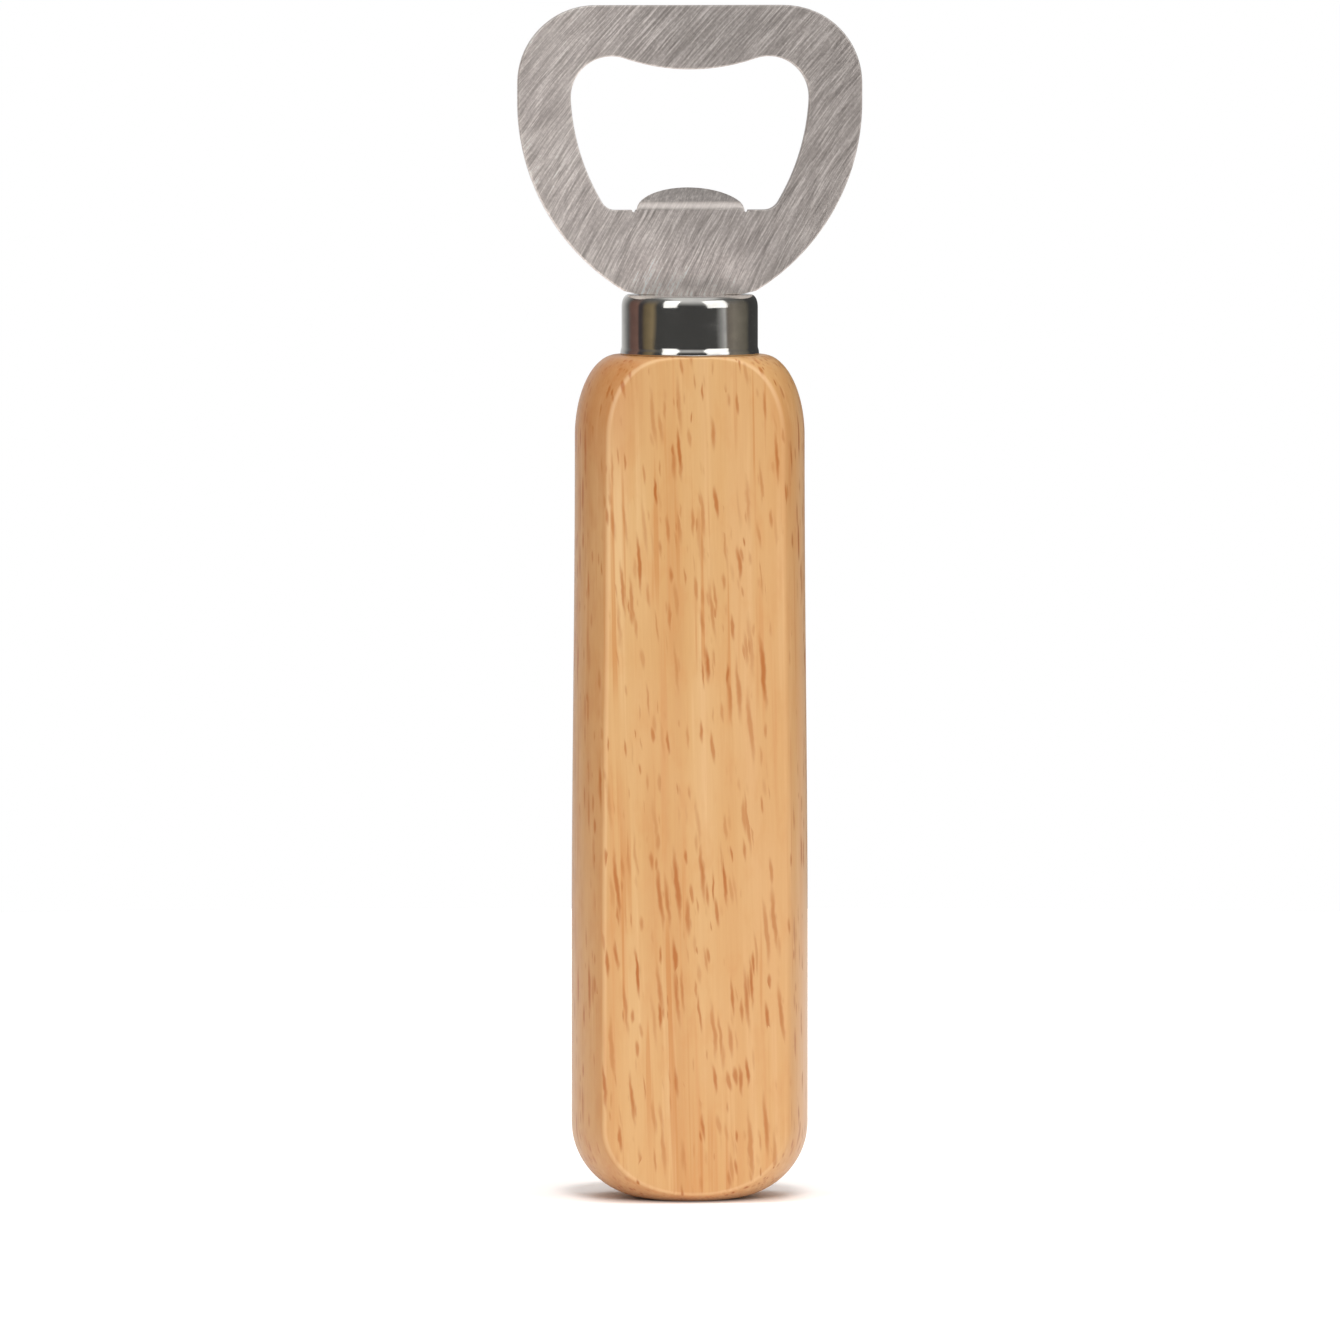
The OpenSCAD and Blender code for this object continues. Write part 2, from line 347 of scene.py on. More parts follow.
def build_head():
    inner, outer, turn, (outer_round, inner_round, back_round) = head_outlines()
    count = len(inner)
    in_n, out_n = outline_normals(inner), outline_normals(outer)
    root = [j for j in range(count) if min(j, count - j) <= ROOT_STEPS]
    root_gaps = [j for j in range(count) if j in root and (j + 1) % count in root]
    sheet = Sheet()

    def loops(points, normals, rounding, y_face, sense):
        """Rows over a rounded edge, from the face to the wall."""
        made = []
        for step in (0, 1, 2, 3):
            a = math.radians(30.0 * step)
            inset = rounding * (1.0 - math.sin(a))
            flat = points - sense * normals * inset[:, None]
            y = y_face * (PLATE_HALF - rounding * (1.0 - math.cos(a)))
            made.append(np.stack([flat[:, 0], y, flat[:, 1]], axis=1))
        return made

    # the window's normals point into the metal, so its edges are inset the other way
    rings = {}
    for y_face, in_round in ((-1.0, inner_round), (1.0, back_round)):
        rings["in", y_face] = loops(inner, in_n, in_round, y_face, -1.0)
        rings["out", y_face] = loops(outer, out_n, outer_round, y_face, 1.0)

    for y_face in (-1.0, 1.0):
        a, b = rings["in", y_face][0], rings["out", y_face][0]
        span = np.linalg.norm(b - a, axis=1)[:, None]
        near = 0.12 / span
        levels = [a + (b - a) * g for g in (0.0, near, 0.3, 0.65, 1.0 - near, 1.0)]
        rows = [sheet.row(level) for level in levels]
        for p, q in zip(rows, rows[1:]):
            sheet.join(*((q, p) if y_face < 0 else (p, q)))

    for kind, points in (("in", inner), ("out", outer)):
        middle = np.stack([points[:, 0], np.full(count, PIVOT_Y), points[:, 1]], axis=1)
        rows = [sheet.row(r) for r in rings[kind, -1.0]] + [sheet.row(middle)]
        rows += [sheet.row(r) for r in rings[kind, 1.0][::-1]]
        for k, (p, q) in enumerate(zip(rows, rows[1:])):
            open_here = root_gaps if (kind == "out" or k < 4) else ()
            sheet.join(*((q, p) if kind == "in" else (p, q)), skip=open_here)

    add_tongue(sheet, turn)
    tops = [outer[j][0] for j in range(-ROOT_STEPS, ROOT_STEPS + 1)]
    add_tang(sheet, tops)
    return make_object("opener_head_steel", sheet, sharp=38.0)


# ---------------------------------------------------------------- ferrule

SLOT_X, SLOT_Y = TANG_HALF + 0.1, PLATE_HALF + 0.1


def lathe(sheet, profile, angles):
    """One row of points round the Z axis for each radius and height of the profile."""
    rows = []
    for r, z in profile:
        rows.append(sheet.row([(r * math.cos(a), r * math.sin(a), z) for a in angles]))
    return rows


def build_ferrule():
    """The drawn cup: its flared foot, wall and rounded edge, the slotted top, and the inside."""
    angles = np.radians(np.arange(0.0, 360.0, 2.5))
    cup_r, wall, lip = 8.3, 0.6, cup_high[0]
    bore = cup_r - wall
    edge_w, edge_h = 0.8, 1.5
    foot, top = CUP_FOOT, CUP_TOP
    flare_r, flare_z, flare_h = lip - 0.015, foot + 0.36, 0.64
    outside = [(bore, foot + 0.1), (bore + 0.08, foot + 0.02), (bore + 0.15, foot),
               (lip - 0.12, foot), (lip - 0.04, foot + 0.03), (lip, foot + 0.1),
               (lip, foot + 0.25), (flare_r, flare_z)]
    for t in np.linspace(0.15, 1.0, 8):
        outside.append((flare_r - (flare_r - cup_r) * float(ease(t)), flare_z + flare_h * t))
    outside += [(cup_r, foot + 1.2), (cup_r, foot + 3.0), (cup_r, top - edge_h - 1.2),
                (cup_r, top - edge_h - 0.15)]
    for a in np.radians(np.linspace(0.0, 90.0, 13)):
        outside.append((cup_r - edge_w * (1.0 - math.cos(a)), top - edge_h * (1.0 - math.sin(a))))
    outside += [(cup_r - edge_w - 0.15, top), (cup_r - edge_w - 0.9, top)]
    sheet = Sheet()
    rows = lathe(sheet, outside, angles)

    def slot_row(grow, z):
        """A row round the slot's rectangle, grown by so much on every side."""
        points = []
        for a in angles:
            c, s = abs(math.cos(a)), abs(math.sin(a))
            r = min((SLOT_X + grow) / max(c, 1e-9), (SLOT_Y + grow) / max(s, 1e-9))
            points.append((r * math.cos(a), r * math.sin(a), z))
        return sheet.row(points)

    slot_edge = 0.06
    rows += [slot_row(2.0 * slot_edge, top), slot_row(slot_edge, top),
             slot_row(0.0, top - slot_edge), slot_row(0.0, top - wall)]
    bend_r = 0.4
    inside = [(bore - 0.5, top - wall)]
    for a in np.radians(np.linspace(75.0, 0.0, 5)):
        inside.append((bore - bend_r + bend_r * math.cos(a),
                       top - wall - bend_r + bend_r * math.sin(a)))
    inside += [(bore, foot + 3.0), (bore, foot + 0.1)]
    rows += lathe(sheet, inside, angles)
    for a, b in zip(rows, rows[1:]):
        sheet.join(a, b)
    return make_object("ferrule_cup", sheet, sharp=45.0)


# ---------------------------------------------------------------- handle

BUTT_FLAT = 4.5
BUTT_RISE = 9.3
SHOULDER_RISE = 9.9
NECK_R = 14.0
LAND_R = 8.9
TENON_R = 7.67
TENON_CHAMFER = 0.5
BORE_R = 4.5
BORE_DEPTH = 43.0
DRILL_POINT = 2.7
FLAT_BLEND = 0.5
BLEND_STEPS = 6


def handle_profile():
    """Rings as (radius, height, normal out, normal up, 1 where the flats can cut)."""
    ease_from, ease_to = CUP_FOOT * 0.3, CUP_FOOT - SHOULDER_RISE
    rx, ry = GRIP_R - BUTT_FLAT, BUTT_RISE
    rings = [(r, 0.0, 0.0, -1.0, 0) for r in (0.9, 2.2, 3.4, BUTT_FLAT - 0.35)]
    cut = math.degrees(math.acos((FLAT_Y - BUTT_FLAT) / rx))
    # more rings where the flat's outline turns in over the butt
    close = cut + np.array([-3.2, -2.2, -1.3, -0.6, 0.0, 0.6, 1.3, 2.2])
    turns = sorted(set(np.round(np.concatenate([np.linspace(0.0, 90.0, 31), close]), 3)))
    for deg in turns[::-1]:
        a = math.radians(deg)
        n = np.array([math.cos(a) / rx, -math.sin(a) / ry])
        n /= np.hypot(*n)
        rings.append((BUTT_FLAT + rx * math.cos(a), ry * (1.0 - math.sin(a)), n[0], n[1], 1))
    for z in np.linspace(BUTT_RISE + 1.2, ease_from, 13):
        rings.append((GRIP_R, z, 1.0, 0.0, 1))
    for t in np.linspace(0.0, 1.0, 42)[1:]:
        r = GRIP_R + (NECK_R - GRIP_R) * (1.0 - math.cos(math.pi * t)) / 2.0
        rings.append((r, ease_from + (ease_to - ease_from) * t, 1.0, 0.0, 1))
    rx, ry = NECK_R - LAND_R, SHOULDER_RISE
    for deg in np.concatenate([np.linspace(2.5, 70.0, 26), np.linspace(72.0, 90.0, 16)]):
        a = math.radians(deg)
        n = np.array([math.cos(a) / rx, math.sin(a) / ry])
        n /= np.hypot(*n)
        rings.append((LAND_R + rx * math.cos(a), ease_to + ry * math.sin(a), n[0], n[1], 1))
    tenon_top = grip_high[2]
    floor = tenon_top - BORE_DEPTH
    inside = [(LAND_R - 0.5, CUP_FOOT), (TENON_R, CUP_FOOT), (TENON_R, CUP_FOOT + 3.0),
              (TENON_R, tenon_top - TENON_CHAMFER), (TENON_R - TENON_CHAMFER, tenon_top),
              (BORE_R + 0.9, tenon_top),
              (BORE_R, tenon_top), (BORE_R, tenon_top - 15.0), (BORE_R, tenon_top - 30.0),
              (BORE_R, floor), (BORE_R * 0.55, floor - DRILL_POINT * 0.45)]
    rings += [(r, z, 0.0, 1.0, 0) for r, z in inside]
    return rings, (0.0, 0.0, floor - DRILL_POINT)


def ring_angles(r):
    """One quarter's column angles, gathered at the edge between the turned side and the flat."""
    edge = math.asin(min(FLAT_Y / max(r, 1e-6), math.sin(math.radians(78.0))))
    band = min(0.55 / max(r, 1e-6), math.radians(5.0))
    turned = np.linspace(0.0, edge - band, 9)[:-1]
    bend = np.linspace(edge - band, edge + band, 9)[:-1]
    x_from = FLAT_Y / math.tan(edge + band)
    flat = np.arctan2(FLAT_Y, np.linspace(x_from, 0.0, 11)[:-1])
    quarter = np.concatenate([turned, bend, flat])
    return np.concatenate([quarter, math.pi - np.append(quarter, math.pi / 2.0)[:0:-1],
                           math.pi + quarter,
                           2.0 * math.pi - np.append(quarter, math.pi / 2.0)[:0:-1]])


def ring_points(r, z, n_out, n_up, cuttable):
    """One ring of the handle, its points moved onto the flats with a blended edge."""
    a = ring_angles(r)
    turned = np.stack([r * np.cos(a), r * np.sin(a), np.full(len(a), z)], axis=1)
    if not cuttable:
        return turned
    normal = np.stack([n_out * np.cos(a), n_out * np.sin(a), np.full(len(a), n_up)], axis=1)
    side = np.where(np.sin(a) >= 0.0, 1.0, -1.0)
    across = np.stack([np.zeros(len(a)), side, np.zeros(len(a))], axis=1)
    limit = FLAT_Y / np.maximum(np.abs(np.sin(a)), 1e-6)
    points = turned.copy()
    scale = np.minimum(1.0, limit / max(r, 1e-6))
    points[:, :2] *= scale[:, None]
    for _ in range(BLEND_STEPS):
        from_turned = ((points - turned) * normal).sum(axis=1)
        from_flat = points[:, 1] * side - FLAT_Y
        near = np.maximum(FLAT_BLEND - np.abs(from_turned - from_flat), 0.0) / FLAT_BLEND
        value = np.maximum(from_turned, from_flat) + near * near * FLAT_BLEND / 4.0
        share = np.where(from_turned >= from_flat, 1.0 - near / 2.0, near / 2.0)[:, None]
        slope = share * normal + (1.0 - share) * across
        points -= slope * (value / (slope * slope).sum(axis=1))[:, None]
    return points


def build_handle():
    rings, tip = handle_profile()
    sheet = Sheet()
    rows = [sheet.row(ring_points(*ring)) for ring in rings]
    for a, b in zip(rows, rows[1:]):
        sheet.join(a, b)
    sheet.cap(rows[0], (0.0, 0.0, 0.0), flip=True)
    sheet.cap(rows[-1], tip)
    return make_object("handle_wood_body", sheet, sharp=50.0)


head = build_head()
ferrule = build_ferrule()
handle = build_handle()


# ---------------------------------------------------------------- node helpers

def node(tree, kind, links=(), **settings):
    """One shader node: settings are its properties, links its sockets' values or sources."""
    made = tree.nodes.new(kind)
    for key, value in settings.items():
        setattr(made, key, value)
    for key, value in dict(links).items():
        socket = made.inputs[key]
        if isinstance(value, bpy.types.NodeSocket):
            tree.links.new(value, socket)
        else:
            socket.default_value = value
    return made


def calc(tree, operation, *values, clamp=False):
    n = node(tree, "ShaderNodeMath", dict(enumerate(values)), operation=operation, use_clamp=clamp)
    return n.outputs[0]


def remap(tree, value, low, high, to_low=0.0, to_high=1.0, smooth=False):
    n = node(tree, "ShaderNodeMapRange",
             {0: value, 1: low, 2: high, 3: to_low, 4: to_high},
             interpolation_type="SMOOTHSTEP" if smooth else "LINEAR")
    return n.outputs[0]


def srgb(r, g, b):
    """A colour in Blender's linear values from its 0 to 255 screen values."""
    def line(v):
        v /= 255.0
        return v / 12.92 if v <= 0.04045 else ((v + 0.055) / 1.055) ** 2.4
    return (line(r), line(g), line(b), 1.0)


def mix(tree, share, a, b, blend="MIX"):
    n = node(tree, "ShaderNodeMix", {}, data_type="RGBA", blend_type=blend)
    for socket, value in ((n.inputs[0], share), (n.inputs[6], a), (n.inputs[7], b)):
        if isinstance(value, bpy.types.NodeSocket):
            tree.links.new(value, socket)
        else:
            socket.default_value = value
    return n.outputs[2]


def ramp(tree, value, stops):
    n = node(tree, "ShaderNodeValToRGB", {0: value})
    points = n.color_ramp.elements
    while len(points) < len(stops):
        points.new(0.5)
    for point, (position, colour) in zip(points, stops):
        point.position = position
        point.color = colour
    return n.outputs[0]


def material(name):
    """A new material, its tree and shader, and the object's own x, y and z in millimetres."""
    made = bpy.data.materials.new(name)
    made.use_nodes = True
    tree = made.node_tree
    tree.nodes.clear()
    out = node(tree, "ShaderNodeOutputMaterial")
    shader = node(tree, "ShaderNodeBsdfPrincipled")
    tree.links.new(shader.outputs[0], out.inputs[0])
    where = node(tree, "ShaderNodeTexCoord").outputs["Object"]
    in_mm = node(tree, "ShaderNodeVectorMath", {0: where, 3: 1000.0}, operation="SCALE").outputs[0]
    parts = node(tree, "ShaderNodeSeparateXYZ", {0: in_mm}).outputs
    return made, tree, shader, (parts[0], parts[1], parts[2])


def coords(tree, x, y, z):
    return node(tree, "ShaderNodeCombineXYZ", {0: x, 1: y, 2: z}).outputs[0]


def noise(tree, vector, scale=1.0, detail=2.0, rough=0.5, distort=0.0):
    n = node(tree, "ShaderNodeTexNoise", {"Vector": vector, "Scale": scale, "Detail": detail,
                                          "Roughness": rough, "Distortion": distort})
    return n.outputs["Fac"]


# ---------------------------------------------------------------- wood

# how far the flecks and the bands of the grain lean to the side, per millimetre up
FLECK_LEAN = 0.085
BAND_LEAN = 0.02


def make_wood():
    made, tree, shader, (x, y, z) = material("lacquered_wood")

    def times(v, k, plus=0.0):
        return calc(tree, "MULTIPLY_ADD", v, k, plus)

    lean = calc(tree, "MULTIPLY_ADD", z, FLECK_LEAN, x)

    # broad figure: soft upright bands, then narrower ones
    upright = calc(tree, "MULTIPLY_ADD", z, BAND_LEAN, x)
    broad = noise(tree, coords(tree, times(upright, 0.16), times(y, 0.16), times(z, 0.008)),
                  1.0, 2.0)
    bands = noise(tree, coords(tree, times(upright, 0.75, 7.0), times(y, 0.75), times(z, 0.02)),
                  1.0, 3.0, 0.6)
    fibre = noise(tree, coords(tree, times(upright, 4.0), times(y, 4.0, 3.0), times(z, 0.14)),
                  1.0, 3.0, 0.65)
    cloud = noise(tree, coords(tree, times(x, 0.09), times(y, 0.09), times(z, 0.05, 4.0)),
                  1.0, 2.0)
    mottle = noise(tree, coords(tree, times(x, 0.45), times(y, 0.45, 9.0), times(z, 0.16)),
                   1.0, 3.0, 0.6)

    colour = ramp(tree, broad, [
        (0.30, srgb(206, 150, 90)), (0.46, srgb(216, 168, 109)), (0.58, srgb(220, 176, 118)),
        (0.72, srgb(224, 181, 127))])
    colour = mix(tree, remap(tree, bands, 0.56, 0.70, 0.0, 0.5, True), colour,
                 srgb(210, 146, 84))
    colour = mix(tree, remap(tree, bands, 0.44, 0.30, 0.0, 0.55, True), colour,
                 srgb(230, 192, 138))
    colour = mix(tree, remap(tree, fibre, 0.35, 0.65, 0.0, 0.14), colour, srgb(200, 138, 80))
    colour = mix(tree, remap(tree, cloud, 0.4, 0.7, 0.0, 0.12), colour, srgb(240, 202, 154))
    colour = mix(tree, remap(tree, mottle, 0.48, 0.68, 0.0, 0.22, True), colour,
                 srgb(208, 142, 80))

    # thin threads of darker grain that run for a few centimetres
    thread = noise(tree, coords(tree, times(upright, 1.5, 31.0), times(y, 1.5), times(z, 0.028)),
                   1.0, 1.0, 0.4)
    place = noise(tree, coords(tree, times(x, 0.12, 5.0), times(y, 0.12), times(z, 0.045)),
                  1.0, 1.0)
    thread = calc(tree, "MULTIPLY", remap(tree, thread, 0.60, 0.70, 0.0, 0.6, True),
                  remap(tree, place, 0.42, 0.58, 0.1, 1.0, True))
    colour = mix(tree, thread, colour, srgb(202, 134, 70))

    # the wood is warmer towards the right
    colour = mix(tree, remap(tree, x, -3.0, 12.0, 0.0, 0.30), colour, srgb(212, 148, 90))

    # painted shade: the turned surface left of the middle is made darker and redder than the
    # milled flats, most on the left side, where less light falls
    depth = calc(tree, "ABSOLUTE", y)
    painted_flank_shade = calc(tree, "MULTIPLY", remap(tree, depth, FLAT_Y - 0.05, FLAT_Y - 0.35),
                 remap(tree, x, -2.0, 8.0, 0.32, 0.0))
    painted_flank_shade = calc(tree, "MULTIPLY", painted_flank_shade, remap(tree, mottle, 0.35, 0.65, 0.8, 1.15))
    colour = mix(tree, painted_flank_shade, colour, srgb(178, 108, 50))
    # the shoulder is redder at its left
    glow = calc(tree, "MULTIPLY", remap(tree, z, 84.0, 99.0, 0.0, 1.0, True),
                remap(tree, x, -3.0, -10.0, 0.0, 0.38, True))
    colour = mix(tree, glow, colour, srgb(190, 112, 50))
    # painted highlight: the flats' rounded edges, save the one at the right, are a little paler,
    # for the lacquer's shine along them
    painted_edge_highlight = calc(tree, "MULTIPLY", remap(tree, depth, FLAT_Y - 0.30, FLAT_Y - 0.12),
                remap(tree, depth, FLAT_Y - 0.01, FLAT_Y - 0.05))
    painted_edge_highlight = calc(tree, "MULTIPLY", painted_edge_highlight, remap(tree, x, 9.0, 11.3, 0.25, 0.0))
    colour = mix(tree, painted_edge_highlight, colour, srgb(246, 212, 164))
    # painted reflection: the far right side is paler, for the bright surroundings mirrored at its
    # grazing edge
    painted_rim_reflection = remap(tree, x, 12.2, 14.3, 0.0, 0.42)
    colour = mix(tree, painted_rim_reflection, colour, srgb(250, 216, 182))

    # flecks: short slender vessels, leaning a little, in layers of different size
    crowd = noise(tree, coords(tree, times(lean, 0.22, 2.0), times(y, 0.2), times(z, 0.03)),
                  1.0, 2.0)
    crowd = times(crowd, 4.4, -1.8)
    wobble = noise(tree, coords(tree, times(x, 0.5), times(y, 0.5), times(z, 0.35)), 1.0, 2.0)
    bent = calc(tree, "MULTIPLY_ADD", calc(tree, "SUBTRACT", wobble, 0.5), 0.7, lean)

    def flecks(across, along, size, seed, keep):
        where = coords(tree, times(bent, 1.0 / across, seed), times(y, 1.0 / across, seed * 1.7),
                       times(z, 1.0 / along, seed * 0.6))
        cell = node(tree, "ShaderNodeTexVoronoi", {"Vector": where, "Scale": 1.0,
                                                   "Randomness": 1.0}, feature="F1")
        luck = node(tree, "ShaderNodeSeparateColor", {0: cell.outputs["Color"]}).outputs
        radius = calc(tree, "MULTIPLY", size, remap(tree, luck[0], 0.0, 1.0, 0.4, 1.0))
        edge = calc(tree, "DIVIDE", cell.outputs["Distance"], radius)
        body = remap(tree, edge, 1.0, 0.3, 0.0, 1.0, True)
        shown = calc(tree, "GREATER_THAN", calc(tree, "ADD", luck[1], crowd), keep)
        return calc(tree, "MULTIPLY", body, shown), luck[2]

    long_f, long_c = flecks(1.05, 13.0, 0.44, 3.0, 0.62)
    mid_f, mid_c = flecks(1.0, 7.0, 0.45, 11.0, 0.55)
    tiny_f, tiny_c = flecks(0.9, 3.8, 0.45, 23.0, 0.75)
    fleck = calc(tree, "MAXIMUM", calc(tree, "MAXIMUM",
                 calc(tree, "MULTIPLY", long_f, remap(tree, long_c, 0.0, 1.0, 0.3, 0.95)),
                 calc(tree, "MULTIPLY", mid_f, remap(tree, mid_c, 0.0, 1.0, 0.3, 0.9))),
                 calc(tree, "MULTIPLY", tiny_f, remap(tree, tiny_c, 0.0, 1.0, 0.2, 0.75)))
    colour = mix(tree, fleck, colour, srgb(178, 98, 28))

    tree.links.new(colour, shader.inputs["Base Color"])
    rough = remap(tree, fibre, 0.3, 0.7, 0.36, 0.5)
    tree.links.new(rough, shader.inputs["Roughness"])
    shader.inputs["Specular IOR Level"].default_value = 0.45
    shader.inputs["Coat Weight"].default_value = 0.35
    shader.inputs["Coat Roughness"].default_value = 0.22
    height = calc(tree, "SUBTRACT", calc(tree, "MULTIPLY", fibre, 0.25),
                  calc(tree, "MULTIPLY", fleck, 0.4))
    bump = node(tree, "ShaderNodeBump", {"Strength": 0.25, "Distance": 0.00008, "Height": height})
    tree.links.new(bump.outputs[0], shader.inputs["Normal"])
    return made


# ---------------------------------------------------------------- metals

def make_steel():
    made, tree, shader, (x, y, z) = material("brushed_steel")
    # the strokes climb to the right, steep at the foot and flatter towards the top
    rise = calc(tree, "SUBTRACT", z, CUP_TOP + 5.0)
    bow = calc(tree, "MULTIPLY", rise, calc(tree, "MULTIPLY_ADD", rise, 0.0072, 0.51))
    across = calc(tree, "MULTIPLY", calc(tree, "SUBTRACT", bow, x), 0.85)
    along = calc(tree, "MULTIPLY", z, 1.15)
    sway = noise(tree, coords(tree, calc(tree, "MULTIPLY", x, 0.12), 0.0,
                              calc(tree, "MULTIPLY", z, 0.12)), 1.0, 1.0)
    across = calc(tree, "MULTIPLY_ADD", calc(tree, "SUBTRACT", sway, 0.5), 0.6, across)

    def strokes(width, length, seed, detail=2.0):
        return noise(tree, coords(tree, calc(tree, "MULTIPLY_ADD", across, 1.0 / width, seed),
                                  calc(tree, "MULTIPLY", y, 0.8),
                                  calc(tree, "MULTIPLY", along, 1.0 / length)), 1.0, detail, 0.6)

    coarse = strokes(0.38, 5.5, 3.0)
    fine = strokes(0.18, 3.5, 17.0)
    hair = strokes(0.08, 2.2, 31.0)
    patch = noise(tree, coords(tree, calc(tree, "MULTIPLY", x, 0.1), y,
                               calc(tree, "MULTIPLY", z, 0.1)), 1.0, 3.0)
    tone = calc(tree, "ADD", calc(tree, "MULTIPLY", coarse, 0.34),
                calc(tree, "ADD", calc(tree, "MULTIPLY", fine, 0.38),
                     calc(tree, "MULTIPLY", hair, 0.28)))
    grain = noise(tree, coords(tree, calc(tree, "MULTIPLY", x, 2.6), y,
                               calc(tree, "MULTIPLY", z, 2.6)), 1.0, 3.0, 0.6)
    tone = calc(tree, "MULTIPLY_ADD", calc(tree, "SUBTRACT", grain, 0.5), 0.22, tone)
    colour = ramp(tree, tone, [(0.38, srgb(180, 172, 167)), (0.5, srgb(204, 196, 191)),
                               (0.61, srgb(232, 225, 220))])
    colour = mix(tree, remap(tree, patch, 0.35, 0.7, 0.0, 0.25), colour, srgb(186, 179, 175))
    near_mid = calc(tree, "ABSOLUTE", x)
    # painted light: the plate is made lighter towards its foot near the middle, where the ferrule
    # darkens what it reflects
    low = calc(tree, "MULTIPLY", remap(tree, rise, 4.0, -5.0, 0.0, 1.0, True),
               remap(tree, near_mid, 10.0, 4.0, 0.0, 1.0, True))
    colour = mix(tree, low, colour, (1.45, 1.43, 1.43, 1.0), "MULTIPLY")
    bend = calc(tree, "MULTIPLY", calc(tree, "LESS_THAN", near_mid, ROOT_X),
                calc(tree, "MULTIPLY", remap(tree, z, SILL - 0.05, SILL + 0.10),
                     remap(tree, z, SILL + 1.10, SILL + 0.95)))
    # bending has stretched most of the brushing away along the bright line
    colour = mix(tree, calc(tree, "MULTIPLY", bend, 0.6), colour, srgb(204, 197, 191))
    # painted light: the plate is made lighter towards its left, and the bend's bright line gets a
    # painted highlight
    painted_lightening = calc(tree, "MAXIMUM", remap(tree, x, 2.0, -17.0, 0.0, 0.9),
                   calc(tree, "MULTIPLY", bend, 0.45))
    colour = mix(tree, painted_lightening, colour, (1.4, 1.4, 1.4, 1.0), "MULTIPLY")
    tree.links.new(colour, shader.inputs["Base Color"])
    shader.inputs["Metallic"].default_value = 0.9
    rough = remap(tree, tone, 0.35, 0.65, 0.34, 0.5)
    tree.links.new(rough, shader.inputs["Roughness"])
    bump = node(tree, "ShaderNodeBump", {"Strength": 0.4, "Distance": 0.00005, "Height": tone})
    tree.links.new(bump.outputs[0], shader.inputs["Normal"])
    return made


def make_chrome():
    made, tree, shader, (x, y, z) = material("polished_metal")
    turn = calc(tree, "ARCTAN2", y, x)
    rub = noise(tree, coords(tree, calc(tree, "MULTIPLY", turn, 6.0), 0.0,
                             calc(tree, "MULTIPLY", z, 3.0)), 1.0, 3.0)
    smear = noise(tree, coords(tree, calc(tree, "MULTIPLY", x, 0.35),
                               calc(tree, "MULTIPLY", y, 0.35),
                               calc(tree, "MULTIPLY", z, 0.5)), 1.0, 3.0)
    colour = mix(tree, remap(tree, smear, 0.35, 0.7), srgb(214, 212, 206), srgb(196, 194, 190))
    tree.links.new(colour, shader.inputs["Base Color"])
    shader.inputs["Metallic"].default_value = 1.0
    rough = calc(tree, "ADD", remap(tree, smear, 0.35, 0.7, 0.06, 0.13),
                 remap(tree, rub, 0.5, 0.75, 0.0, 0.04))
    tree.links.new(rough, shader.inputs["Roughness"])
    wave = noise(tree, coords(tree, calc(tree, "MULTIPLY", x, 0.32),
                              calc(tree, "MULTIPLY", y, 0.32),
                              calc(tree, "MULTIPLY", z, 0.16)), 1.0, 0.0)
    bump = node(tree, "ShaderNodeBump", {"Strength": 0.5, "Distance": 0.00022, "Height": wave})
    tree.links.new(bump.outputs[0], shader.inputs["Normal"])
    return made


def make_adhesive():
    made, tree, shader, (x, y, z) = material("set_adhesive")
    lumps = noise(tree, coords(tree, x, y, z), 0.6, 4.0)
    specks = noise(tree, coords(tree, x, y, z), 3.5, 2.0)
    colour = mix(tree, remap(tree, lumps, 0.35, 0.65), srgb(232, 224, 196), srgb(214, 200, 160))
    colour = mix(tree, remap(tree, specks, 0.62, 0.7, 0.0, 0.5), colour, srgb(190, 176, 138))
    tree.links.new(colour, shader.inputs["Base Color"])
    tree.links.new(remap(tree, lumps, 0.3, 0.7, 0.45, 0.65), shader.inputs["Roughness"])
    bump = node(tree, "ShaderNodeBump", {"Strength": 0.4, "Distance": 0.0001, "Height": lumps})
    tree.links.new(bump.outputs[0], shader.inputs["Normal"])
    return made


head.data.materials.append(make_steel())
ferrule.data.materials.append(make_chrome())
handle.data.materials.append(make_wood())
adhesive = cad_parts["tang_adhesive"]
adhesive.data.materials.clear()
adhesive.data.materials.append(make_adhesive())

for piece, cad_node, finish in ((head, "opener_head", "head_steel"),
                                (ferrule, "ferrule", "ferrule_metal"),
                                (handle, "handle", "handle_wood")):
    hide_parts(cad_node)
    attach(piece, "root")


# ---------------------------------------------------------------- stage, light and camera

FLOOR_COLOUR = srgb(250, 246, 244)
CAMERA_AZIMUTH = -5.0
CAMERA_DISTANCE = 2.1
CAMERA_HEIGHT = 0.184
CAMERA_LENS = 463.6


